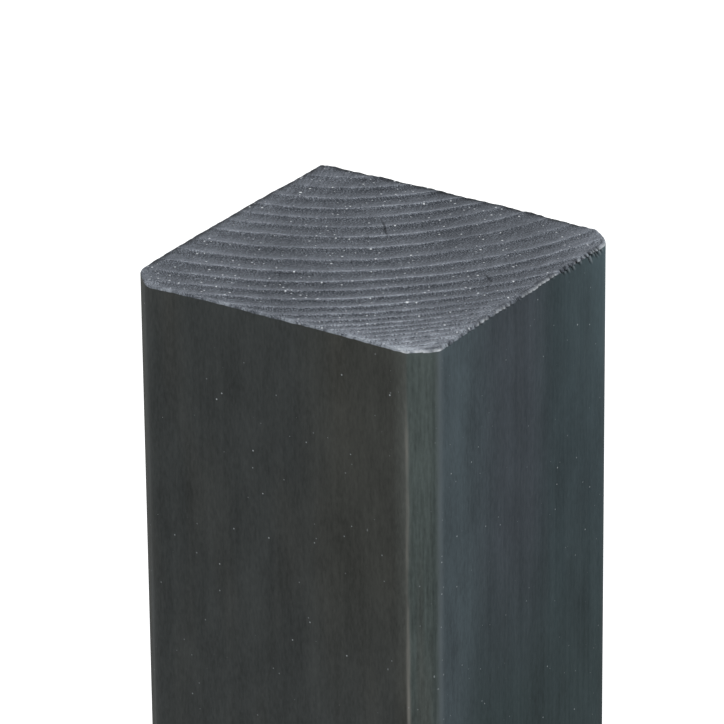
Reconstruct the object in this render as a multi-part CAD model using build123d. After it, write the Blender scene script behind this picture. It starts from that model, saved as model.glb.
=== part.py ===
from build123d import *

import math
import os

# A planed softwood fence post: a square section with chamfered corners, sawn off
# flat at both ends. On the sawn top the soft early wood lies a little lower than
# the hard late wood, so the growth rings stand up as fine ridges.
# Millimetres, Z up, origin at the middle of the foot. The face towards -Y is the front.

# Section and length
SIDE = 68.0  # planed width across each pair of faces
LENGTH = 1800.0  # foot to sawn top

# Corner chamfers, each as its leg along a face: the planer cut some corners deeper
CHAMFER_FRONT_RIGHT = 4.5
CHAMFER_FRONT_LEFT = 5.5
CHAMFER_BACK_RIGHT = 4.5
CHAMFER_BACK_LEFT = 1.0

# Rounding where a chamfer meets a face: some corners are rubbed rounder than others
CRISP_ARRIS = 0.8  # front side of the front right chamfer
WORN_ARRIS = 2.2  # right side of the front right chamfer
ARRIS_FRONT_LEFT = 4.0
ARRIS_BACK_RIGHT = 5.0
ARRIS_BACK_LEFT = 0.5

# Sawn ends
SAWN_EASING = 0.5  # chamfer round both ends, where the saw edge is rubbed down
RING_RELIEF = 0.35  # depth of the early wood below the late wood on the sawn top

# Growth rings: circles round a pith that lies outside the section. The tree grew
# faster on one side, so each circle's centre has drifted from the pith.
PITH_X = -41.3
PITH_Y = 66.6
DRIFT_X = -0.024  # drift of a ring's centre, as a share of its radius
DRIFT_Y = -0.215
FIRST_RING = 24.6  # radius of the innermost ring, just short of the section
YOUNG_WIDTH = 4.4  # ring width while the tree grew fast
OLD_WIDTH = 1.3  # ring width near the bark
SLOWING_RADIUS = 87.2  # radius at which growth is half way from young to old
SLOWING_SPREAD = 4.2  # how gently growth slows round that radius
SEASON_SWING = 0.11  # share by which good and bad years change a width
SEASON_STEP = 0.92  # radians from one year to the next in that swing
SEASON_PHASE = -0.44  # radians at the innermost ring
LATE_WOOD_SHARE = 0.3  # part of a ring that is hard late wood


def chamfered_section():
    """Square section with its own chamfer at each corner and softened arrises."""
    half = SIDE / 2
    section = Rectangle(SIDE, SIDE)
    # Way to the corner, chamfer leg, rounding on its front or back face and on its side face
    corners = (
        (1, -1, CHAMFER_FRONT_RIGHT, CRISP_ARRIS, WORN_ARRIS),
        (-1, -1, CHAMFER_FRONT_LEFT, ARRIS_FRONT_LEFT, ARRIS_FRONT_LEFT),
        (1, 1, CHAMFER_BACK_RIGHT, ARRIS_BACK_RIGHT, ARRIS_BACK_RIGHT),
        (-1, 1, CHAMFER_BACK_LEFT, ARRIS_BACK_LEFT, ARRIS_BACK_LEFT),
    )
    for x, y, leg, face_radius, side_radius in corners:
        corner = section.vertices().sort_by_distance((x * half, y * half, 0))[0]
        section = chamfer(corner, length=leg)
        on_face = section.vertices().sort_by_distance((x * (half - leg), y * half, 0))[0]
        section = fillet(on_face, radius=face_radius)
        on_side = section.vertices().sort_by_distance((x * half, y * (half - leg), 0))[0]
        section = fillet(on_side, radius=side_radius)
    return section


def ring_radius(x, y):
    """Radius of the growth ring that passes through a point of the section."""
    dx = x - PITH_X
    dy = y - PITH_Y
    spread = 1 - DRIFT_X**2 - DRIFT_Y**2
    along_drift = dx * DRIFT_X + dy * DRIFT_Y
    return (math.sqrt(along_drift**2 + spread * (dx**2 + dy**2)) - along_drift) / spread


def ring_bounds():
    """Inner and outer radius of each year's ring, out to the farthest corner."""
    half = SIDE / 2
    reach = max(ring_radius(x, y) for x in (-half, half) for y in (-half, half))
    bounds = []
    inner = FIRST_RING
    while inner < reach:
        youth = 1 / (1 + math.exp((inner - SLOWING_RADIUS) / SLOWING_SPREAD))
        season = 1 + SEASON_SWING * math.sin(SEASON_PHASE + SEASON_STEP * len(bounds))
        outer = inner + (OLD_WIDTH + (YOUNG_WIDTH - OLD_WIDTH) * youth) * season
        bounds.append((inner, outer))
        inner = outer
    return bounds


def ring_disc(radius):
    """Disc bounded by the growth ring of the given radius."""
    return Pos(PITH_X + DRIFT_X * radius, PITH_Y + DRIFT_Y * radius) * Circle(radius)


def sunken_band(inner, outer):
    """Cutter for one ring's early wood: all of the ring but its hard outer edge."""
    ridge = outer - LATE_WOOD_SHARE * (outer - inner)
    band = ring_disc(ridge) - ring_disc(inner)
    return Pos(0, 0, LENGTH - RING_RELIEF) * extrude(band, amount=2 * RING_RELIEF)


def fence_post():
    """The whole post: planed, sawn to length, with its ring relief."""
    post = extrude(chamfered_section(), amount=LENGTH)
    ends = post.faces().filter_by(Axis.Z)
    post = chamfer(ends.edges(), length=SAWN_EASING)
    return post - [sunken_band(inner, outer) for inner, outer in ring_bounds()]


os.makedirs("parts", exist_ok=True)
post = fence_post()
post.label = "post"
export_step(post, "parts/post.step")
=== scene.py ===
import math
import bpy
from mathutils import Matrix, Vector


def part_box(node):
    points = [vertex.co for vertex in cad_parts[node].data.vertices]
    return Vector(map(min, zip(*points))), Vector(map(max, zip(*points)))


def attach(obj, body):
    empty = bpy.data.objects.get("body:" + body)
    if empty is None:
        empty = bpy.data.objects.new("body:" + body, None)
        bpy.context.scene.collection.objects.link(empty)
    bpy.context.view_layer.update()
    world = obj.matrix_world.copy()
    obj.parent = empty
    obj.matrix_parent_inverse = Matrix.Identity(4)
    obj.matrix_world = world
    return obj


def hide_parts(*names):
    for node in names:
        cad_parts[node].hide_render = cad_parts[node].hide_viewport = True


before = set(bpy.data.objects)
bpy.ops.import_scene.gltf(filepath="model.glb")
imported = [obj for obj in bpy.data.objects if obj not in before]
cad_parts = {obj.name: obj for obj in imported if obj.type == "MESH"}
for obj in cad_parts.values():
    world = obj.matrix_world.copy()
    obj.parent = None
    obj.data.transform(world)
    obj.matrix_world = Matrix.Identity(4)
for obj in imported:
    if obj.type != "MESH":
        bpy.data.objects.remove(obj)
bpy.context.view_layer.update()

from types import SimpleNamespace

import bpy
import numpy as np
from mathutils import Matrix, Vector

# Sizes are in metres, and written as so many millimetres
MM = 0.001

LOW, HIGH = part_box("post")
HALF = (HIGH.x - LOW.x) / 2
TOP = HIGH.z
FOOT = LOW.z

# Corners of the section, as the ways to them
AT_FRONT_LEFT = (-1, -1)
AT_FRONT_RIGHT = (1, -1)
AT_BACK_RIGHT = (1, 1)
AT_BACK_LEFT = (-1, 1)

# Leg of each corner's chamfer and rounding of its arrises, which differ at the front right corner
FRONT_LEFT = (5.5 * MM, 4.0 * MM)
FRONT_RIGHT = (4.5 * MM, 0.8 * MM)
RIGHT_FRONT = (4.5 * MM, 2.2 * MM)
BACK_RIGHT = (4.5 * MM, 5.0 * MM)
BACK_LEFT = (1.0 * MM, 0.5 * MM)
CHAMFER_LEGS = {
    AT_FRONT_LEFT: FRONT_LEFT[0],
    AT_FRONT_RIGHT: FRONT_RIGHT[0],
    AT_BACK_RIGHT: BACK_RIGHT[0],
    AT_BACK_LEFT: BACK_LEFT[0],
}
ARC_POINTS = 9

# Each side runs counter-clockwise: along it, out of it, its first corner and its last
SIDES = (
    ((1, 0), (0, -1), FRONT_LEFT, FRONT_RIGHT),
    ((0, 1), (1, 0), RIGHT_FRONT, BACK_RIGHT),
    ((-1, 0), (0, 1), BACK_RIGHT, BACK_LEFT),
    ((0, -1), (-1, 0), BACK_LEFT, FRONT_LEFT),
)
FRONT, RIGHT, BACK, LEFT = range(4)
SIDE_NORMALS = np.array([out for _, out, _, _ in SIDES], float)

# Growth rings: circles whose centres drift from the pith as they grow
PITH = (-41.3 * MM, 66.6 * MM)
DRIFT = (-0.024, -0.215)
FIRST_RING = 24.6 * MM
LAST_RING = 125 * MM
YOUNG_WIDTH = 4.4 * MM
OLD_WIDTH = 1.3 * MM
SLOWING_RADIUS = 87.2 * MM
SLOWING_SPREAD = 4.2 * MM
SEASON_SWING = 0.11
SEASON_STEP = 0.92
SEASON_PHASE = -0.44
RING_WANDER = 0.35 * MM
RING_SHAKE = 0.105 * MM
RING_RELIEF = 0.35 * MM
FULL_RELIEF_WIDTH = 2.6 * MM

# One ring from its inner to its outer edge: where along it, how high and how light it is
RING_SHARE = (0.0, 0.06, 0.14, 0.22, 0.4, 0.65, 0.86, 1.0)
RING_HEIGHT = (0.0, -0.3, -0.8, -1.0, -0.9, -0.55, -0.2, 0.0)
RING_TONE = (1.0, 0.5, 0.08, 0.0, 0.1, 0.34, 0.6, 1.0)
RING_TONE_DEPTH = 0.29
# The pale line at a ring's outer edge
LINE_REACH = 0.32 * MM
LINE_CORE = 0.032 * MM
LINE_TONE = 0.17
LINE_STRENGTH = (0.3, 1.0)
LINE_SEED = 21
LINE_COUNT = 60
# How strongly the rings show: in wide rings, how much that varies, in the narrowest rings, how
# much more for each millimetre of width, and at least and at most
CONTRAST = 0.9
CONTRAST_SWING = 0.3
NARROW_CONTRAST = 0.7
CONTRAST_PER_MM = 0.1
CONTRAST_RANGE = (0.05, 1.2)
# Where the rings are rubbed out: the share lost at an edge or corner, and how far that reaches
EDGE_FADE = (
    (LEFT, 0.85, 4.5 * MM),
    (FRONT, 0.6, 1.8 * MM),
    (RIGHT, 0.5, 1.8 * MM),
    (BACK, 0.4, 0.6 * MM),
)
CORNER_FADE = (
    (AT_FRONT_RIGHT, 0.4, 6.0 * MM),
    (AT_FRONT_LEFT, 0.5, 3.0 * MM),
    (AT_BACK_RIGHT, 0.5, 4.0 * MM),
)
MOST_RUBBED = 0.9
RELIEF_FADE = 1.2 * MM

# Noises over the top and along its edge: how wide their bumps are, and their seed
NOISE_CELLS = 128
NOISES = {
    "ring wander": (11 * MM, 3),
    "ring shake": (2.3 * MM, 4),
    "ring strength": (14 * MM, 5),
    "saw": (0.6 * MM, 6),
    "fine saw": (0.3 * MM, 7),
    "notch": (0.7 * MM, 8),
    "wide notch": (2.1 * MM, 9),
    "edge wear and highlight": (1.3 * MM, 10),
    "cloud": (9 * MM, 12),
    "wave": (3.2 * MM, 13),
    "splinter": (2.4 * MM, 14),
    "rim darkening": (0.9 * MM, 15),
    "chips": (1.6 * MM, 16),
    "ripple": (1.12 * MM, 17),
    "bare wood": (0.6 * MM, 18),
}

# Sawn top: how finely it is meshed, how its edge is rubbed down and its corners worn, and how
# rough the saw left it
CELL = 0.272 * MM
EASING = 0.4 * MM
CORNER_DROP = 0.35 * MM
CORNER_START = 0.35
SAW_ROUGHNESS = 0.02 * MM
FINE_ROUGHNESS = 0.012 * MM
# Grid lines by the eased edge, in millimetres in from it, and the least share of the way out,
# which stands for the middle of the top
EASED_STEPS = (0.04, 0.12, 0.25, 0.45)
LEAST_OUT = 1e-9

# Depths below the top at which the planed faces are meshed, in millimetres, and how far such a row
# stays below an uneven rim, as a share of its depth
TORN_DEPTHS = (0.15, 0.3, 0.5, 0.7, 0.9, 1.1, 1.35, 1.6, 1.85, 2.1, 2.4, 2.7, 3.1)
LONG_DEPTHS = (5, 9, 16, 24, 34, 48, 64, 84, 120, 240, 480, 900, 1400)
RIM_STEP = 0.02

# Saw marks on the top: which way they run, and how strong they are, most so at the back left corner
SAW_TURN = math.radians(-21)
SAW_MARKS = 0.05
SAW_CORNERS = ((AT_BACK_LEFT, 0.2, 9 * MM),)

# Drying checks on the top: two ends each, the share over which they taper and their soft edge
CHECKS = (
    ((-8.6 * MM, 16.2 * MM), (-1.8 * MM, 8.0 * MM)),
    ((22.6 * MM, 3.6 * MM), (26.2 * MM, 0.8 * MM)),
)
CHECK_WIDTH = 0.13 * MM
CHECK_DEPTH = 0.2 * MM
CHECK_TAPER = 0.25
CHECK_EDGE = 1.5

# Fibres torn out along the right face's top edge: groups of slits, each with its place along
# the side, how far it reaches both ways, how many slits it has and how much is torn out
TORN_PLACES = (
    (25.5 * MM, 2.3 * MM, 5, 1.0),
    (19.5 * MM, 0, 1, 0.6),
    (15 * MM, 1.6 * MM, 3, 0.8),
    (7.5 * MM, 1.5 * MM, 2, 0.4),
    (-4 * MM, 25 * MM, 32, 0.3),
)
TORN_SHARE = (0.5, 1)
SLIT_SEED = 11
SLIT_JITTER = 0.6
SLIT_WIDTH = (0.2 * MM, 0.32 * MM)
SLIT_DEPTH = (0.4 * MM, 3.0 * MM)
SLIT_CUT = (0.1 * MM, 0.6 * MM)
SLIT_LEAN = 0.6
SLIT_FADE = 1.5
# In slit widths: the reach of a slit's edge, and the place and edge of the pale fibre beside it
SLIT_EDGE = 1.6
FIBRE_PLACE = 2.2
FIBRE_EDGE = 1.4
SLIT_DARK = 2
FIBRE_PALE = 0.9
# How far in a slit runs over the top, how far in it pushes the top's grid, and how much it lowers
# the rim and its fibres lighten it
SLIT_REACH = 0.3 * MM
SLIT_SQUEEZE = 2.5 * MM
SLIT_DROP = 0.3
FIBRE_LIGHT = 0.3
# Splinters lifted along that edge: how sharply they start and how much of the edge they take up,
# how much painted highlight they carry, and the painted shade behind them with its place and reach
SPLINTER_SHARPNESS = 2.5
SPLINTER_SPREAD = 0.8
SPLINTER_HIGHLIGHT = 0.65
SPLINTER_SHADE = 0.7
SHADE_INSET = 0.6 * MM
SHADE_REACH = 0.2 * MM
# Painted highlight where the near chamfer's top edge is chipped, and how far in all rim highlight
# reaches
CHIP_SHARPNESS = 2
CHIP_SPREAD = 0.9
CHIP_REACH = 1.2 * MM
CHIP_HIGHLIGHT = 1.2
HIGHLIGHT_LEVEL = 0.7
HIGHLIGHT_SWING = 0.6
HIGHLIGHT_REACH = 0.15 * MM
# How uneven the top's edge is on each side: fine notches, and waves up and down with ripples
EDGE_NOTCH = (0.06 * MM, 0.16 * MM, 0.16 * MM, 0.1 * MM)
NOTCH_SWING = 0.6
EDGE_WAVE = (0.05 * MM, 0.1 * MM, 0.2 * MM, 0.1 * MM)
RIPPLE = 0.7
WAVE_REACH = 1.5 * MM
# How much darker the rim of each side is, and how much that varies
RIM_DARKENING = (0, 0, 1.3, 1.3)
RIM_DARK_LEVEL = 0.75
RIM_DARK_SWING = 0.5
RIM_DARK_REACH = 1.2 * MM
# Corners where the rim is not darkened, and how far that reaches
PLAIN_RIM_CORNERS = (AT_FRONT_LEFT, AT_BACK_RIGHT)
PLAIN_RIM_REACH = 3.0 * MM

# Wear and painted highlight on the top: how much lighter it is at an edge or corner, how far that
# reaches and how much it varies, and clouds all over; the narrow bands along the front arris and at
# the near corner's edge are painted highlights
EDGE_WEAR_AND_HIGHLIGHT = (
    (FRONT, 0.34, 0.55 * MM),
    (FRONT, 0.12, 4.0 * MM),
    (LEFT, 0.19, 5.5 * MM),
    (RIGHT, 0.14, 1.5 * MM),
    (RIGHT, 0.06, 12.0 * MM),
)
CORNER_WEAR_AND_HIGHLIGHT = (
    (AT_FRONT_RIGHT, 0.12, 0.7 * MM),
    (AT_FRONT_RIGHT, 0.38, 9.0 * MM),
    (AT_FRONT_LEFT, 0.12, 2.5 * MM),
    (AT_BACK_RIGHT, 0.3, 4.5 * MM),
)
LIGHT_SWING = 0.45
CLOUD_LIGHT = 0.05


def srgb(red, green, blue):
    """Linear colour from 8-bit screen values."""
    def linear(level):
        """One channel."""
        level = level / 255
        return level / 12.92 if level <= 0.04045 else ((level + 0.055) / 1.055) ** 2.4
    return (linear(red), linear(green), linear(blue), 1)


# Sawn top: its colours from dark early wood to rubbed late wood, and its tone before all else
TOP_COLOURS = (
    (0.0, srgb(40, 43, 48)),
    (0.25, srgb(70, 74, 80)),
    (0.5, srgb(102, 106, 113)),
    (0.75, srgb(134, 139, 147)),
    (1.0, srgb(176, 182, 190)),
)
TOP_TONE = 0.256
# Near-white painted highlight for the rim, the dark of checks, slits and painted shade, and dust
RIM_HIGHLIGHT = srgb(246, 248, 250)
TOP_MARK_AND_SHADE = srgb(22, 24, 27)
TOP_DUST = srgb(240, 243, 246)
# Grain of the sawn top, stretched across the rings, and its factors in the early and late wood
GRAIN_STRETCH = 1.3
GRAIN_SIZE = 0.24 * MM
GRAIN_ROUGHNESS = 0.6
GRAIN_SWING = 0.52
GRAIN_IN_RING = (0.3, 0.85, 1.1, 0.5)
GRAIN_BUMP = 0.05 * MM
# Mottle along the rings, which also breaks up their pale lines
MOTTLE_STRETCH = 2.5
MOTTLE_SIZE = 1.3 * MM
MOTTLE_SWING = 0.08
LINE_BREAKS = (0.3, 0.7, 0.6, 1.2)
# Scratches of the saw
SCRATCH_SQUEEZE = (1, 0.06, 1)
SCRATCH_SIZE = 0.4 * MM
# Roughness from the lowest to the highest grain
TOP_ROUGHNESS = (0.2, 0.8, 0.85, 0.65)
TOP_SHEEN = 0.08

# Casts of the stain on the planed faces; the right face's cooler, paler casts are partly painted bluish
# light
STAIN = srgb(68, 71, 70)
WARM = srgb(71, 72, 68)
PALE_OLIVE = srgb(89, 92, 88)
COOL = srgb(74, 84, 88)
SLATE = srgb(67, 73, 78)
TEAL = srgb(58, 69, 72)
DEEP_TEAL = srgb(55, 66, 67)
# Where each cast lies: places along a side, in millimetres from its middle
FACE_CASTS = {
    FRONT: ((-34, WARM), (-30, STAIN), (4, STAIN), (14, WARM), (26, WARM), (29.5, PALE_OLIVE)),
    # Right face: cool casts, partly painted bluish light on that side
    RIGHT: ((-34, COOL), (-20, COOL), (-8, SLATE), (2, SLATE), (10, TEAL), (34, TEAL)),
    BACK: ((-34, TEAL), (-20, STAIN), (10, STAIN), (34, WARM)),
    LEFT: ((-34, WARM), (-10, STAIN), (20, STAIN), (34, WARM)),
}
# The two near sides farther down, and the depths between which their cast changes
LOW_CASTS = {
    **FACE_CASTS,
    FRONT: ((-34, WARM), (-30, STAIN), (26, STAIN), (29.5, WARM)),
    RIGHT: ((-34, COOL), (-26, COOL), (-16, DEEP_TEAL), (34, DEEP_TEAL)),
}
CAST_CHANGE = (45 * MM, 85 * MM)
# Brown patches, the noise between their rim and their middle, and how much each side shows
BROWN = srgb(75, 73, 67)
BROWN_SPAN = (0.5, 0.75)
BROWN_SHARE = (0.3, 0.0, 0.2, 0.3)
# Paler wood near the top: corner, how much lighter, how far down and how far from the corner
PALE_CORNERS = (
    (AT_FRONT_RIGHT, 0.36, 22 * MM, 5 * MM),
    (AT_BACK_RIGHT, 1.7, 26 * MM, 7 * MM),
    (AT_FRONT_LEFT, 0.18, 18 * MM, 20 * MM),
)
# Near chamfer: two worn colours and the noise from one to the other, how softly it ends, its sharp
# arris with the depths over which that starts to show, its soft arris, both lines worn paint and
# painted highlight, and painted shade in the groove beside that
WORN_CHAMFER = srgb(82, 90, 87)
BANDED_CHAMFER = srgb(81, 84, 80)
BAND_SPAN = (0.45, 0.6)
CHAMFER_BLUR = 0.5 * MM
SHARP_ARRIS_WEAR_AND_HIGHLIGHT = srgb(146, 143, 136)
SHARP_REACH = 0.34 * MM
SHARP_START = (6 * MM, 26 * MM)
SHARP_BREAKS = (0.38, 0.62, 0.1, 0.95)
SOFT_ARRIS_WEAR_AND_HIGHLIGHT = srgb(106, 114, 117)
SOFT_REACH = 0.75 * MM
SOFT_BREAKS = (0.2, 0.7, 0.5, 0.9)
GROOVE_SHADE = srgb(52, 62, 60)
GROOVE_INSET = 0.9 * MM
GROOVE_REACH = 0.3 * MM
GROOVE_SHARE = 0.35
# Torn fibres, scores and dust
PALE_FIBRE = srgb(165, 172, 177)
DARK_SLIT = srgb(18, 21, 23)
SCORE = srgb(138, 136, 126)
SCORE_SHARE = 0.7
FACE_DUST = srgb(196, 202, 204)
# Noises on the planed faces: how many times as long as wide, how wide and how detailed
FACE_NOISES = {
    "bands": (25, 5 * MM, 2.0),
    "streaks": (40, 1.0 * MM, 2.0),
    "cloud": (2.5, 7 * MM, 2.0),
    "fine": (3, 0.45 * MM, 2.0),
    "brown": (5, 9 * MM, 1.0),
    "scrapes": (14, 0.5 * MM, 2.0),
    "breaks": (10, 1.6 * MM, 2.0),
}
# How much four of them change the tone all over, and the scrapes on the worn chamfer
TONE_SWINGS = {"streaks": 0.05, "bands": 0.10, "cloud": 0.2, "fine": 0.17}
SCRAPE_SWING = 0.24
# Late wood: its share of a ring, and how much lighter it is where a ring meets a planed face
LATE_WOOD = (0.7, 1.0)
LATE_WOOD_LIGHT = 0.025
# Roughness from the lowest to the highest streaks
FACE_ROUGHNESS = (0.3, 0.7, 0.78, 0.66)
FACE_SHEEN = 0.15
STREAK_BUMP = 0.01 * MM

# Values between which most of a material's noise lies
NOISE_SPAN = (0.25, 0.75)

# Specks: how many times as long as wide, their spacing, radius and the share of cells with one
SPECKS = {
    "fine dust on top": (1, 1.2 * MM, 0.28 * MM, 0.45),
    "dust on top": (1, 5 * MM, 0.42 * MM, 0.6),
    "scores": (9, 5 * MM, 0.26 * MM, 0.55),
    "fine dust": (1, 1.7 * MM, 0.2 * MM, 0.4),
    "dust": (2, 4 * MM, 0.26 * MM, 0.3),
    "rubbed spots": (1, 1.3 * MM, 0.26 * MM, 0.8),
}
# As shares: the smallest speck, the full core of each, and the faintest
SMALLEST_SPECK = 0.4
SPECK_CORE = 0.5
FAINTEST_SPECK = 0.25


# Noise and rings

def smooth(t):
    """Eased step from 0 to 1."""
    t = np.clip(t, 0, 1)
    return t * t * (3 - 2 * t)


def bell(distance, reach):
    """Fall from 1 with distance."""
    return np.exp(-((distance / reach) ** 2))


def noise_at(x, y, name):
    """Smooth noise between -1 and 1 at the given points."""
    size, seed = NOISES[name]
    lattice = np.random.default_rng(seed).uniform(-1, 1, (NOISE_CELLS, NOISE_CELLS))
    column = np.floor(x / size).astype(int)
    row = np.floor(y / size).astype(int)
    across = smooth(x / size - column)
    along = smooth(y / size - row)
    near = lattice[column % NOISE_CELLS, row % NOISE_CELLS]
    near = near + (lattice[(column + 1) % NOISE_CELLS, row % NOISE_CELLS] - near) * across
    far = lattice[column % NOISE_CELLS, (row + 1) % NOISE_CELLS]
    far = far + (lattice[(column + 1) % NOISE_CELLS, (row + 1) % NOISE_CELLS] - far) * across
    return near + (far - near) * along


def ring_edges():
    """Radii of the ring edges, from year to year."""
    edges = [FIRST_RING]
    while edges[-1] < LAST_RING:
        youth = 1 / (1 + math.exp((edges[-1] - SLOWING_RADIUS) / SLOWING_SPREAD))
        season = 1 + SEASON_SWING * math.sin(SEASON_PHASE + SEASON_STEP * (len(edges) - 1))
        edges.append(edges[-1] + (OLD_WIDTH + (YOUNG_WIDTH - OLD_WIDTH) * youth) * season)
    return np.array(edges)


def ring_place(x, y):
    """For points of the section: rings from the first with a share of the last, its width,
    its radius and the way along it."""
    dx = x - PITH[0]
    dy = y - PITH[1]
    spread = 1 - DRIFT[0] ** 2 - DRIFT[1] ** 2
    along = dx * DRIFT[0] + dy * DRIFT[1]
    radius = (np.sqrt(along**2 + spread * (dx**2 + dy**2)) - along) / spread
    radius = radius + RING_WANDER * noise_at(x, y, "ring wander")
    radius = radius + RING_SHAKE * noise_at(x, y, "ring shake")
    edges = ring_edges()
    ring = np.clip(np.searchsorted(edges, radius) - 1, 0, len(edges) - 2)
    width = edges[ring + 1] - edges[ring]
    way = radius * np.arctan2(dy - DRIFT[1] * radius, dx - DRIFT[0] * radius)
    return ring + np.clip((radius - edges[ring]) / width, 0, 1), width, radius, way


# Outline of the section

def side_path(side):
    """Points of one side, from the middle of its first chamfer to the middle of its last."""
    along, out, (first_leg, first_round), (last_leg, last_round) = SIDES[side]

    def half_corner(leg, rounding):
        """From the chamfer's middle to the face, as distances from the corner and inwards."""
        reach = rounding * math.tan(math.pi / 8)
        points = [(leg / 2, leg / 2)]
        for turn in np.linspace(math.pi / 4, 0, ARC_POINTS):
            points.append((leg + reach - rounding * math.sin(turn), rounding * (1 - math.cos(turn))))
        return points

    path = [(-HALF + run, inset) for run, inset in half_corner(first_leg, first_round)]
    path += [(HALF - run, inset) for run, inset in reversed(half_corner(last_leg, last_round))]
    run, inset = np.array(path).T
    return np.stack([run * along[i] + (HALF - inset) * out[i] for i in (0, 1)], axis=1)


def along_path(path, share):
    """Points at the given shares of a path's length."""
    steps = np.hypot(*np.diff(path, axis=0).T)
    reach = np.concatenate([[0], np.cumsum(steps)])
    place = share * reach[-1]
    return np.stack([np.interp(place, reach, path[:, i]) for i in (0, 1)], axis=-1)


def outline():
    """Outline points below the rim, in the order of the rim loop."""
    lines = grid_lines()[:-1]
    return np.concatenate([along_path(side_path(side), (lines + 1) / 2) for side in range(4)])


def from_side(plan, side):
    """Distance of points in from a side."""
    return HALF - plan @ SIDE_NORMALS[side]


def from_corner(plan, corner):
    """Distance of points in from a corner's chamfer."""
    inward = 2 * HALF - plan @ np.array(corner, float) - CHAMFER_LEGS[corner]
    return np.maximum(inward, 0) / math.sqrt(2)


def edge_sum(plan, at_edges, at_corners):
    """Sum of amounts that fall off with distance from edges and corners."""
    amounts = np.zeros(len(plan))
    for side, amount, reach in at_edges:
        amounts += amount * np.exp(-from_side(plan, side) / reach)
    for corner, amount, reach in at_corners:
        amounts += amount * np.exp(-from_corner(plan, corner) / reach)
    return amounts


# Sawn top

def grid_lines():
    """Grid lines from -1 to 1 across the top, closer together at the eased edge."""
    edge = [1 - step * MM / HALF for step in (0, *EASED_STEPS)]
    inner = 1 - (EASED_STEPS[-1] * MM + CELL) / HALF
    count = 2 * round(inner * HALF / CELL) + 1
    middle = np.linspace(-inner, inner, count)
    return np.concatenate([-np.array(edge), middle, edge[::-1]])


def top_grid():
    """Grid of the top: each point's place, share of the way out, side, place on it and inset."""
    lines = grid_lines()
    u, v = (axis.ravel() for axis in np.meshgrid(lines, lines))
    out = np.maximum(np.maximum(abs(u), abs(v)), LEAST_OUT)
    flat = abs(v) >= abs(u)
    side = np.where(flat, np.where(v < 0, FRONT, BACK), np.where(u > 0, RIGHT, LEFT))
    along = np.choose(side, (u, v, -u, -v)) / out
    plan = np.zeros((len(u), 2))
    for index in range(4):
        here = side == index
        plan[here] = along_path(side_path(index), (along[here] + 1) / 2) * out[here, None]
    inset = (1 - out) * HALF
    return SimpleNamespace(count=len(lines), plan=plan, out=out, side=side, along=along, inset=inset)


def rim_loop(count):
    """Grid indices round the edge of the top, counter-clockwise from the front left."""
    last = count - 1
    step = np.arange(last)
    front = step
    right = step * count + last
    back = last * count + last - step
    left = (last - step) * count
    return np.concatenate([front, right, back, left])


def noise_along(top, name):
    """Noise that runs along each side of the top."""
    return noise_at(top.along * HALF, top.side * MM, name)


def check_mask(x, y):
    """How far a point of the top lies inside a drying check, from 0 to 1."""
    mask = np.zeros_like(x)
    for (x0, y0), (x1, y1) in CHECKS:
        length = math.hypot(x1 - x0, y1 - y0)
        along = ((x - x0) * (x1 - x0) + (y - y0) * (y1 - y0)) / length
        across = ((x - x0) * (y1 - y0) - (y - y0) * (x1 - x0)) / length
        taper = np.clip(np.minimum(along, length - along) / (CHECK_TAPER * length), 0, 1)
        mask = np.maximum(mask, smooth(CHECK_EDGE - abs(across) / CHECK_WIDTH) * taper)
    return mask


def ring_contrast(top):
    """How strongly the rings show: less in narrow rings and where they are rubbed out."""
    rubbed = np.clip(edge_sum(top.plan, EDGE_FADE, CORNER_FADE), 0, MOST_RUBBED)
    contrast = (1 - rubbed) * (CONTRAST + CONTRAST_SWING * noise_at(*top.plan.T, "ring strength"))
    by_width = np.clip(NARROW_CONTRAST + CONTRAST_PER_MM * top.ring_width / MM, 0, 1)
    return np.clip(contrast * by_width, *CONTRAST_RANGE)


def top_drop(top):
    """Height of the top, from its highest plane: rings, saw marks, checks and an uneven, eased edge."""
    x, y = top.plan.T
    relief = RING_RELIEF * np.minimum(1, top.ring_width / FULL_RELIEF_WIDTH) * top.contrast
    relief = relief * smooth(top.inset / RELIEF_FADE)
    drop = relief * np.interp(top.ring % 1, RING_SHARE, RING_HEIGHT)
    drop += SAW_ROUGHNESS * (noise_at(x, y, "saw") - 1)
    drop += FINE_ROUGHNESS * noise_at(x, y, "fine saw")
    sideways = (abs(top.along) * top.out - CORNER_START) / (1 - CORNER_START)
    drop -= CORNER_DROP * smooth(sideways) * smooth(top.out**2)
    drop -= CHECK_DEPTH * check_mask(x, y)
    bevel = np.clip(1 - top.inset / EASING, 0, 1)
    drop -= EASING * (1 - np.sqrt(1 - bevel**2))
    notch = 1 + NOTCH_SWING * (noise_along(top, "notch") + noise_along(top, "wide notch"))
    drop -= np.choose(top.side, EDGE_NOTCH) * np.maximum(notch, 0) * bevel
    wave = 1 + noise_along(top, "wave") + RIPPLE * noise_along(top, "ripple")
    drop -= np.choose(top.side, EDGE_WAVE) * wave * np.exp(-top.inset / WAVE_REACH)
    return np.minimum(drop, 0)


def top_wear_and_highlight(top):
    """How much lighter the top is where it is worn, with painted highlights along its front arris and
    at the near corner's edge.
    """
    x, y = top.plan.T
    light = edge_sum(top.plan, EDGE_WEAR_AND_HIGHLIGHT, CORNER_WEAR_AND_HIGHLIGHT)
    light = light * (1 + LIGHT_SWING * noise_at(x, y, "edge wear and highlight"))
    return light + CLOUD_LIGHT * noise_at(x, y, "cloud")


def splinters(top):
    """Where splinters are lifted along the right edge, from 0 to 1."""
    lifted = smooth(SPLINTER_SHARPNESS * noise_along(top, "splinter") + SPLINTER_SPREAD)
    return lifted * (top.side == RIGHT)


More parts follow.
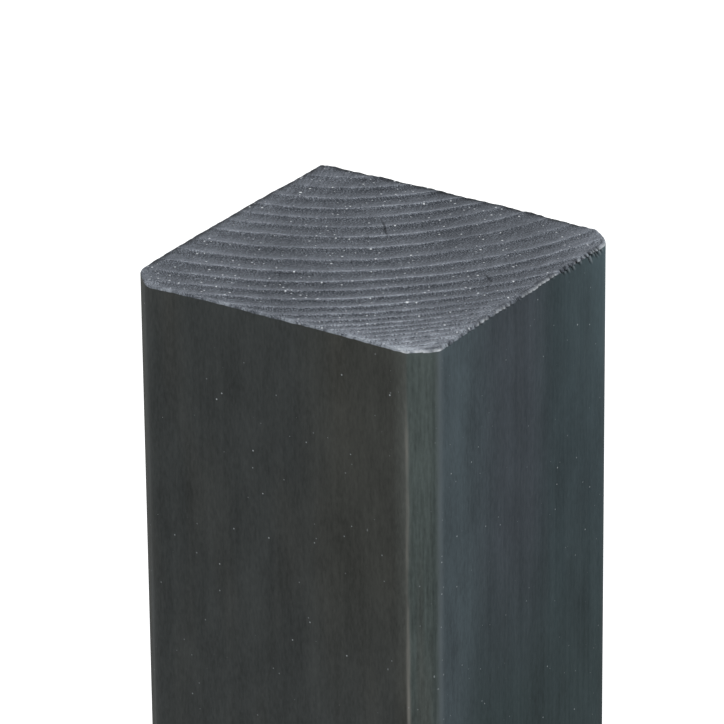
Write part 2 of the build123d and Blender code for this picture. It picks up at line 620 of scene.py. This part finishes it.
def bare_wood(top):
    """Painted highlight on the splinters and on the near chamfer's top edge, from 0 to 1."""
    x, y = top.plan.T
    chipped = smooth(CHIP_SHARPNESS * noise_at(x + y, x - y, "chips") + CHIP_SPREAD)
    chipped = chipped * bell(from_corner(top.plan, AT_FRONT_RIGHT), CHIP_REACH)
    bare = SPLINTER_HIGHLIGHT * splinters(top) + CHIP_HIGHLIGHT * chipped
    bare = np.clip(bare * (HIGHLIGHT_LEVEL + HIGHLIGHT_SWING * noise_at(x, y, "bare wood")), 0, 1)
    return bare * bell(top.inset, HIGHLIGHT_REACH)


def marks_and_shade(top):
    """Drying checks, painted shade behind the splinters and darkening along the rim, from 0 to 1."""
    # Painted shade behind the lifted splinters
    behind = SPLINTER_SHADE * splinters(top) * bell(top.inset - SHADE_INSET, SHADE_REACH)
    rim = np.choose(top.side, RIM_DARKENING) * (RIM_DARK_LEVEL + RIM_DARK_SWING * noise_along(top, "rim darkening"))
    for corner in PLAIN_RIM_CORNERS:
        rim = rim * (1 - bell(from_corner(top.plan, corner), PLAIN_RIM_REACH))
    rim = np.clip(rim, 0, 1) * bell(top.inset, RIM_DARK_REACH)
    return np.maximum.reduce([check_mask(*top.plan.T), behind, rim])


def torn_slits(along, down):
    """Inward cut of the torn fibres at a depth down the right face, and how dark or pale it is."""
    draw = np.random.default_rng(SLIT_SEED)
    cut = np.zeros_like(along)
    dark = np.zeros_like(along)
    pale = np.zeros_like(along)
    for middle, reach, count, strength in TORN_PLACES:
        jitter = draw.uniform(-SLIT_JITTER, SLIT_JITTER, count) / count
        for place in middle + reach * (np.linspace(-1, 1, count) + jitter):
            torn = strength * draw.uniform(*TORN_SHARE)
            depth = SLIT_DEPTH[0] + torn * (SLIT_DEPTH[1] - SLIT_DEPTH[0])
            deep = SLIT_CUT[0] + torn * (SLIT_CUT[1] - SLIT_CUT[0])
            width = draw.uniform(*SLIT_WIDTH)
            away = along * HALF - place - SLIT_LEAN * down
            fade = np.clip(SLIT_FADE * (1 - (down / depth) ** 2), 0, 1)
            near = np.clip(SLIT_EDGE - abs(away) / width, 0, 1)
            beside = np.clip(FIBRE_EDGE - abs(away - FIBRE_PLACE * width) / width, 0, 1)
            cut = np.maximum(cut, deep * fade * near)
            dark = np.maximum(dark, min(1, SLIT_DARK * torn) * fade * near)
            pale = np.maximum(pale, FIBRE_PALE * torn * fade * beside)
    return cut, dark, pale


def tear_rim(top):
    """Runs the right side's slits over the rim of the top."""
    cut, dark, pale = torn_slits(top.along, 0)
    on_right = top.side == RIGHT
    squeeze = np.clip(1 - top.inset / SLIT_SQUEEZE, 0, 1) ** 2 * on_right
    at_rim = bell(top.inset, SLIT_REACH) * on_right
    top.plan -= SIDE_NORMALS[top.side] * (cut * squeeze)[:, None]
    top.drop -= SLIT_DROP * cut * at_rim
    top.mark = np.maximum(top.mark, dark * at_rim)
    top.light += FIBRE_LIGHT * pale * at_rim


def sawn_top():
    """The top's grid with its heights and the values that its material reads."""
    top = top_grid()
    top.ring, top.ring_width, top.ring_radius, top.ring_way = ring_place(*top.plan.T)
    top.contrast = ring_contrast(top)
    top.drop = top_drop(top)
    # Wear along the top's edges, with painted highlights at the front arris and the near corner
    top.light = top_wear_and_highlight(top)
    top.mark = marks_and_shade(top)
    top.bare = bare_wood(top)
    strengths = np.random.default_rng(LINE_SEED).uniform(*LINE_STRENGTH, LINE_COUNT)
    top.line = strengths[np.round(top.ring).astype(int)] * top.contrast
    tear_rim(top)
    top.saw = SAW_MARKS + edge_sum(top.plan, (), SAW_CORNERS)
    return top


# Planed faces

def step_down(down, between):
    """From 0 to 1 over a range of depths."""
    return float(smooth((down - between[0]) / (between[1] - between[0])))


def casts_along(edge, stops_of):
    """Cast of the faces' colour at outline points, partly painted bluish light on the right face, as
    linear red, green and blue.
    """
    casts = np.zeros((len(edge), 3))
    per_side = len(edge) // 4
    for side, stops in stops_of.items():
        here = slice(side * per_side, (side + 1) * per_side)
        run = edge[here] @ np.array(SIDES[side][0], float) / MM
        places, colours = zip(*stops)
        for channel in range(3):
            casts[here, channel] = np.interp(run, places, [colour[channel] for colour in colours])
    return casts


def corner_marks(edge):
    """Worn near chamfer, its sharp and its soft arris, worn paint with painted highlight, and the
    painted shade of the groove beside that, from 0 to 1.
    """
    leg = FRONT_RIGHT[0]
    from_right = from_side(edge, RIGHT)
    from_front = from_side(edge, FRONT)
    worn = smooth((leg - np.maximum(from_right, from_front)) / CHAMFER_BLUR + 0.5)
    sharp = bell(np.hypot(from_right - leg, from_front), SHARP_REACH)
    soft = bell(np.hypot(from_right, from_front - leg), SOFT_REACH)
    groove = bell(np.hypot(from_right - GROOVE_INSET, from_front - leg + GROOVE_INSET), GROOVE_REACH)
    return worn, sharp, soft, groove


def pale_wood(edge, down):
    """How much lighter the wood is at a depth below the top's corners."""
    lighter = np.zeros(len(edge))
    for corner, amount, depth, reach in PALE_CORNERS:
        lighter += amount * math.exp(-down / depth) * np.exp(-from_corner(edge, corner) / reach)
    return lighter


def wall_row(top, loop, edge, down):
    """Points round the planed faces at a depth below the top, and the values stored there."""
    on_right = top.side[loop] == RIGHT
    cut, dark, pale = torn_slits(top.along[loop], down)
    level = np.full(len(loop), TOP - down)
    if down < LONG_DEPTHS[0] * MM:
        level = np.minimum(level, TOP + top.drop[loop] - RIM_STEP * down)
    inward = SIDE_NORMALS[top.side[loop]] * (cut * on_right)[:, None]
    worn, sharp, soft, groove = corner_marks(edge)
    high = casts_along(edge, FACE_CASTS)
    low = casts_along(edge, LOW_CASTS)
    red, green, blue = (high + (low - high) * step_down(down, CAST_CHANGE)).T
    values = {
        "ring": ring_place(*edge.T)[0],
        "light": pale * on_right,
        "mark": dark * on_right,
        "warmth": np.repeat(BROWN_SHARE, len(edge) // 4),
        "worn": worn,
        "sharp": sharp * step_down(down, SHARP_START),
        "soft": soft,
        "groove": groove,
        "lighter": pale_wood(edge, down),
        "cast_red": red,
        "cast_green": green,
        "cast_blue": blue,
    }
    return np.column_stack([edge - inward, level]), values


# Mesh of the post

TOP_VALUES = (
    "ring", "ring_width", "ring_radius", "ring_way", "contrast", "line", "light", "mark", "bare", "saw",
)


def post_faces(count, loop, walls):
    """Faces of the top's grid, then of each row below it, then of the foot."""
    cells = np.arange(count - 1)
    corner = (cells[:, None] * count + cells[None, :]).ravel()
    faces = np.stack([corner, corner + 1, corner + count + 1, corner + count], axis=1).tolist()
    above = loop
    for wall in range(walls):
        below = count * count + wall * len(loop) + np.arange(len(loop))
        faces += np.stack([above, below, np.roll(below, -1), np.roll(above, -1)], axis=1).tolist()
        above = below
    faces.append(above[::-1].tolist())
    return faces


def set_attribute(mesh, name, values):
    """Stores one number per vertex for the materials to read."""
    stored = mesh.attributes.new(name, "FLOAT", "POINT")
    stored.data.foreach_set("value", values.astype(np.float32))


def post_mesh():
    """Post with a finely meshed sawn top and planed faces below it."""
    top = sawn_top()
    loop = rim_loop(top.count)
    edge = outline()
    depths = [step * MM for step in (*TORN_DEPTHS, *LONG_DEPTHS)] + [TOP - FOOT]
    walls = [wall_row(top, loop, edge, down) for down in depths]
    points = [np.column_stack([top.plan, TOP + top.drop])] + [row for row, _ in walls]
    faces = post_faces(top.count, loop, len(walls))
    mesh = bpy.data.meshes.new("planed_post")
    mesh.from_pydata(np.concatenate(points).tolist(), [], faces)

    none_on_top = np.zeros(len(top.plan))
    none_on_row = np.zeros(len(loop))
    for name in dict.fromkeys((*TOP_VALUES, *walls[0][1])):
        on_top = getattr(top, name) if name in TOP_VALUES else none_on_top
        on_walls = [values.get(name, none_on_row) for _, values in walls]
        set_attribute(mesh, name, np.concatenate([on_top, *on_walls]))

    # Both sawn ends have the first material, the planed faces the second
    slots = np.ones(len(faces), int)
    slots[:(top.count - 1) ** 2] = 0
    slots[-1] = 0
    mesh.polygons.foreach_set("material_index", slots)
    mesh.polygons.foreach_set("use_smooth", np.ones(len(faces), bool))
    mesh.update()
    mesh.validate()
    return mesh


# Material helpers

def node(tree, kind, inputs, **settings):
    """Adds a node; inputs are values or sockets to link from."""
    made = tree.nodes.new(kind)
    for name, value in settings.items():
        setattr(made, name, value)
    for key, value in inputs.items():
        if isinstance(value, bpy.types.NodeSocket):
            tree.links.new(value, made.inputs[key])
        else:
            made.inputs[key].default_value = value
    return made


def calc(tree, operation, first, second=0.0):
    """Math node's result."""
    return node(tree, "ShaderNodeMath", {0: first, 1: second}, operation=operation).outputs[0]


def times(tree, first, second):
    """Product of two numbers."""
    return calc(tree, "MULTIPLY", first, second)


def greater(tree, first, second):
    """Greater of two numbers."""
    return calc(tree, "MAXIMUM", first, second)


def total(tree, *parts):
    """Sum of several numbers."""
    result = parts[0]
    for part in parts[1:]:
        result = calc(tree, "ADD", result, part)
    return result


def mix(tree, factor, first, second, blend="MIX"):
    """Mixed colour."""
    inputs = {0: factor, 6: first, 7: second}
    return node(tree, "ShaderNodeMix", inputs, data_type="RGBA", blend_type=blend).outputs[2]


def attribute(tree, name):
    """Number stored on the mesh."""
    return node(tree, "ShaderNodeAttribute", {}, attribute_name=name).outputs["Fac"]


def squeezed(tree, vector, factors):
    """Vector times a factor each way."""
    inputs = {0: vector, 1: factors}
    return node(tree, "ShaderNodeVectorMath", inputs, operation="MULTIPLY").outputs[0]


def place(tree, length=1):
    """Place on the object in metres, squeezed so that patterns are as many times as long."""
    raw = node(tree, "ShaderNodeTexCoord", {}).outputs["Object"]
    return squeezed(tree, raw, (1, 1, 1 / length))


def noise(tree, vector, size, detail=2.0, roughness=0.5):
    """Noise from 0 to 1 with features of about the given size."""
    inputs = {"Vector": vector, "Scale": 1 / size, "Detail": detail, "Roughness": roughness}
    return node(tree, "ShaderNodeTexNoise", inputs).outputs["Fac"]


def face_noise(tree, name):
    """One of the planed faces' noises."""
    length, width, detail = FACE_NOISES[name]
    return noise(tree, place(tree, length), width, detail)


def spread(tree, value, low, high, to_low=0.0, to_high=1.0):
    """Clamped linear map from one range to another."""
    inputs = {0: value, 1: low, 2: high, 3: to_low, 4: to_high}
    return node(tree, "ShaderNodeMapRange", inputs).outputs[0]


def swing(tree, value, amount):
    """Noise turned into plus or minus an amount."""
    return spread(tree, value, *NOISE_SPAN, -amount, amount)


def specks(tree, name):
    """Mask of scattered specks: spheres up to the radius in a share of the cells, some brighter."""
    length, spacing, radius, share = SPECKS[name]
    cells = node(tree, "ShaderNodeTexVoronoi", {"Vector": place(tree, length), "Scale": 1 / spacing})
    chance = node(tree, "ShaderNodeSeparateColor", {0: cells.outputs["Color"]})
    there = calc(tree, "LESS_THAN", chance.outputs[0], share)
    largest = radius / spacing
    size = spread(tree, chance.outputs[1], 0, 1, SMALLEST_SPECK * largest, largest)
    dot = spread(tree, calc(tree, "DIVIDE", cells.outputs["Distance"], size), 1.0, SPECK_CORE)
    bright = spread(tree, calc(tree, "POWER", chance.outputs[2], 2.0), 0, 1, FAINTEST_SPECK, 1.0)
    return times(tree, times(tree, dot, there), bright)


def ramp(tree, value, stops):
    """Colour ramp through (place, colour) stops."""
    made = node(tree, "ShaderNodeValToRGB", {0: value})
    elements = made.color_ramp.elements
    while len(elements) < len(stops):
        elements.new(0.5)
    for element, (at, colour) in zip(elements, stops):
        element.position = at
        element.color = colour
    return made.outputs["Color"]


def surface(name, colour_of, sheen):
    """Matt wood material with a sheen, whose colour, roughness and bump come from one function."""
    material = bpy.data.materials.new(name)
    material.use_nodes = True
    tree = material.node_tree
    shader = tree.nodes["Principled BSDF"]
    colour, roughness, height, depth = colour_of(tree)
    tree.links.new(colour, shader.inputs["Base Color"])
    tree.links.new(roughness, shader.inputs["Roughness"])
    bump = node(tree, "ShaderNodeBump", {"Height": height, "Distance": depth, "Strength": 1.0})
    tree.links.new(bump.outputs[0], shader.inputs["Normal"])
    shader.inputs["Specular IOR Level"].default_value = sheen
    return material


# Materials

def ring_lines(tree, share):
    """Pale lines where two rings meet, before they are broken up."""
    width = attribute(tree, "ring_width")
    after = times(tree, share, width)
    near = calc(tree, "MINIMUM", after, calc(tree, "SUBTRACT", width, after))
    pale = spread(tree, near, LINE_REACH, LINE_CORE, 0, LINE_TONE)
    return times(tree, pale, attribute(tree, "line"))


def ring_tones(tree, share):
    """Tone across each ring, from dark early wood to pale late wood."""
    stops = [(at, (tone, tone, tone, 1)) for at, tone in zip(RING_SHARE, RING_TONE)]
    tones = times(tree, ramp(tree, share, stops), RING_TONE_DEPTH)
    return times(tree, tones, attribute(tree, "contrast"))


def end_grain(tree):
    """Fine grain, stretched across the rings, and mottle, stretched along them."""
    radius = attribute(tree, "ring_radius")
    way = attribute(tree, "ring_way")
    across_inputs = {0: calc(tree, "DIVIDE", radius, GRAIN_STRETCH), 1: way}
    across = node(tree, "ShaderNodeCombineXYZ", across_inputs).outputs[0]
    along_inputs = {0: radius, 1: calc(tree, "DIVIDE", way, MOTTLE_STRETCH)}
    along = node(tree, "ShaderNodeCombineXYZ", along_inputs).outputs[0]
    grain = noise(tree, across, GRAIN_SIZE, roughness=GRAIN_ROUGHNESS)
    return grain, noise(tree, along, MOTTLE_SIZE)


def saw_scratches(tree):
    """Noise drawn out along the saw's way."""
    inputs = {"Vector": place(tree), "Angle": SAW_TURN}
    turned = node(tree, "ShaderNodeVectorRotate", inputs, rotation_type="Z_AXIS").outputs[0]
    return noise(tree, squeezed(tree, turned, SCRATCH_SQUEEZE), SCRATCH_SIZE, 1.0)


def sawn_end(tree):
    """Stained end grain: pale late wood lines, dark early wood, dust, rubbed edges with painted
    highlights, and painted shade behind the splinters.
    """
    share = calc(tree, "FRACT", attribute(tree, "ring"))
    grain, mottle = end_grain(tree)
    tone = total(
        tree,
        times(tree, ring_lines(tree, share), spread(tree, mottle, *LINE_BREAKS)),
        ring_tones(tree, share),
        attribute(tree, "light"),
        times(tree, swing(tree, grain, GRAIN_SWING), spread(tree, share, *GRAIN_IN_RING)),
        swing(tree, mottle, MOTTLE_SWING),
        times(tree, swing(tree, saw_scratches(tree), 1.0), attribute(tree, "saw")),
        TOP_TONE,
    )
    colour = ramp(tree, tone, TOP_COLOURS)
    # Painted highlight along the chipped and splintered rim
    colour = mix(tree, attribute(tree, "bare"), colour, RIM_HIGHLIGHT)
    # Dark checks and slits, painted shade behind the splinters, and the darker rim
    colour = mix(tree, attribute(tree, "mark"), colour, TOP_MARK_AND_SHADE)
    dust = greater(tree, specks(tree, "fine dust on top"), specks(tree, "dust on top"))
    colour = mix(tree, dust, colour, TOP_DUST)
    return colour, spread(tree, grain, *TOP_ROUGHNESS), grain, GRAIN_BUMP


def stain_and_painted_light(tree, noises, worn):
    """Colour of the stain, with painted bluish light on the right face: its casts, brown patches and
    the worn chamfer.
    """
    casts = {i: attribute(tree, name) for i, name in enumerate(("cast_red", "cast_green", "cast_blue"))}
    colour = node(tree, "ShaderNodeCombineColor", casts).outputs[0]
    brown = spread(tree, noises["brown"], *BROWN_SPAN)
    colour = mix(tree, times(tree, brown, attribute(tree, "warmth")), colour, BROWN)
    chamfer = mix(tree, spread(tree, noises["bands"], *BAND_SPAN), WORN_CHAMFER, BANDED_CHAMFER)
    return mix(tree, worn, colour, chamfer)


def face_tone(tree, noises, worn):
    """How light the stained wood is, about 1: streaks along the grain, scrapes and paler wood."""
    share = calc(tree, "FRACT", attribute(tree, "ring"))
    return total(
        tree,
        times(tree, worn, swing(tree, noises["scrapes"], SCRAPE_SWING)),
        *(swing(tree, noises[name], amount) for name, amount in TONE_SWINGS.items()),
        spread(tree, share, *LATE_WOOD, 0, LATE_WOOD_LIGHT),
        attribute(tree, "lighter"),
        1.0,
    )


def planed_face(tree):
    """Stained planed wood: faint streaks along the grain, casts, a worn chamfer with painted arris
    highlights and groove shade, and dust.
    """
    noises = {name: face_noise(tree, name) for name in FACE_NOISES}
    worn = attribute(tree, "worn")
    soft = attribute(tree, "soft")
    colour = stain_and_painted_light(tree, noises, worn)
    colour = mix(tree, 1.0, colour, face_tone(tree, noises, worn), "MULTIPLY")
    # Arris lines of the near chamfer: worn paint and painted highlight
    sharp_arris = times(tree, attribute(tree, "sharp"), spread(tree, noises["breaks"], *SHARP_BREAKS))
    colour = mix(tree, sharp_arris, colour, SHARP_ARRIS_WEAR_AND_HIGHLIGHT)
    soft_arris = times(tree, soft, spread(tree, noises["breaks"], *SOFT_BREAKS))
    colour = mix(tree, soft_arris, colour, SOFT_ARRIS_WEAR_AND_HIGHLIGHT)
    # Painted shade in the groove beside the soft arris
    colour = mix(tree, times(tree, attribute(tree, "groove"), GROOVE_SHARE), colour, GROOVE_SHADE)
    colour = mix(tree, attribute(tree, "light"), colour, PALE_FIBRE)
    colour = mix(tree, attribute(tree, "mark"), colour, DARK_SLIT)
    colour = mix(tree, times(tree, specks(tree, "scores"), SCORE_SHARE), colour, SCORE)
    dust = greater(tree, specks(tree, "fine dust"), specks(tree, "dust"))
    dust = greater(tree, dust, times(tree, specks(tree, "rubbed spots"), soft))
    colour = mix(tree, dust, colour, FACE_DUST)
    return colour, spread(tree, noises["streaks"], *FACE_ROUGHNESS), noises["streaks"], STREAK_BUMP


# Scene

def make_post():
    """The post's piece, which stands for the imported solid."""
    piece = bpy.data.objects.new("planed_post", post_mesh())
    bpy.context.scene.collection.objects.link(piece)
    piece.data.materials.append(surface("sawn_end", sawn_end, TOP_SHEEN))
    piece.data.materials.append(surface("planed_face", planed_face, FACE_SHEEN))
    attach(piece, "root")
    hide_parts("post")


# Floor: how wide it is, its colour, and how much it glows to the camera so that it looks white
FLOOR_SIZE = 120.0
FLOOR_COLOUR = (0.8, 0.8, 0.8, 1)
FLOOR_GLOW = 0.585
WHITE = (1, 1, 1, 1)


def make_floor():
    """Wide pale floor that keeps the shadow and looks white to the camera."""
    mesh = bpy.data.meshes.new("floor")
    reach = FLOOR_SIZE / 2
    corners = [(x * reach, y * reach, FOOT) for x, y in ((-1, -1), (1, -1), (1, 1), (-1, 1))]
    mesh.from_pydata(corners, [], [(0, 1, 2, 3)])
    floor = bpy.data.objects.new("floor", mesh)
    bpy.context.scene.collection.objects.link(floor)
    material = bpy.data.materials.new("floor_white")
    material.use_nodes = True
    tree = material.node_tree
    shader = tree.nodes["Principled BSDF"]
    shader.inputs["Base Color"].default_value = FLOOR_COLOUR
    shader.inputs["Roughness"].default_value = 1.0
    shader.inputs["Specular IOR Level"].default_value = 0.0
    shader.inputs["Emission Color"].default_value = WHITE
    path = node(tree, "ShaderNodeLightPath", {})
    glow = times(tree, path.outputs["Is Camera Ray"], FLOOR_GLOW)
    tree.links.new(glow, shader.inputs["Emission Strength"])
    mesh.materials.append(material)


WORLD_LIGHT = (0.52, 0.53, 0.54, 1)


def camera_ray(tree):
    """1 where the background is looked at, straight on or in a reflection."""
    path = node(tree, "ShaderNodeLightPath", {})
    seen = greater(tree, path.outputs["Is Camera Ray"], path.outputs["Is Glossy Ray"])
    return greater(tree, seen, path.outputs["Is Transmission Ray"])


def make_world():
    """White to the camera, soft grey light for everything else."""
    world = bpy.data.worlds.new("studio")
    world.use_nodes = True
    bpy.context.scene.world = world
    tree = world.node_tree
    colour = mix(tree, camera_ray(tree), WORLD_LIGHT, WHITE)
    tree.links.new(colour, tree.nodes["Background"].inputs["Color"])


# Lamps: direction to the lamp, distance, width, share of plain light at the post's top and colour
LAMPS = {
    "overhead_key": ((-0.35, 0.5, 1.0), 6.0, 2.0, 0.5, (1.0, 1.0, 1.0)),
    "right_fill": ((0.95, 0.1, 0.3), 6.0, 3.0, 0.10, (0.85, 1.0, 1.1)),
}


def make_lamps():
    """Soft area lamps, aimed at the top of the post and unseen by the camera."""
    target = Vector((0, 0, TOP))
    for name, (direction, distance, width, share, colour) in LAMPS.items():
        data = bpy.data.lights.new(name, "AREA")
        data.size = width
        data.color = colour
        data.energy = share * math.pi**2 * distance**2
        lamp = bpy.data.objects.new(name, data)
        away = Vector(direction).normalized()
        lamp.location = target + away * distance
        lamp.rotation_euler = (-away).to_track_quat("-Z", "Y").to_euler()
        lamp.visible_camera = False
        bpy.context.scene.collection.objects.link(lamp)


# Camera: place from the middle of the top, and turn in degrees, fitted to the photograph's outline
CAMERA_PLACE = (575.5 * MM, -871.3 * MM, 443.5 * MM)
CAMERA_YAW = -33.57
CAMERA_PITCH = 24.04
CAMERA_ROLL = -0.60
LENS = 298.3
SENSOR = 36.0
CLIP = (0.01, 200)


def make_camera():
    """Long lens looking down on the top corner."""
    data = bpy.data.cameras.new("camera")
    data.lens = LENS
    data.sensor_width = SENSOR
    data.clip_start, data.clip_end = CLIP
    camera = bpy.data.objects.new("camera", data)
    yaw, pitch, roll = (math.radians(a) for a in (CAMERA_YAW, CAMERA_PITCH, CAMERA_ROLL))
    ahead = Vector((math.sin(yaw) * math.cos(pitch), math.cos(yaw) * math.cos(pitch), -math.sin(pitch)))
    level = Vector((math.cos(yaw), -math.sin(yaw), 0))
    upright = level.cross(ahead)
    right = level * math.cos(roll) + upright * math.sin(roll)
    up = upright * math.cos(roll) - level * math.sin(roll)
    turn = Matrix((right, up, -ahead)).transposed().to_4x4()
    camera.matrix_world = Matrix.Translation(Vector((0, 0, TOP)) + Vector(CAMERA_PLACE)) @ turn
    bpy.context.scene.collection.objects.link(camera)
    bpy.context.scene.camera = camera


make_post()
make_floor()
make_world()
make_lamps()
make_camera()
bpy.context.scene.view_settings.view_transform = "Standard"
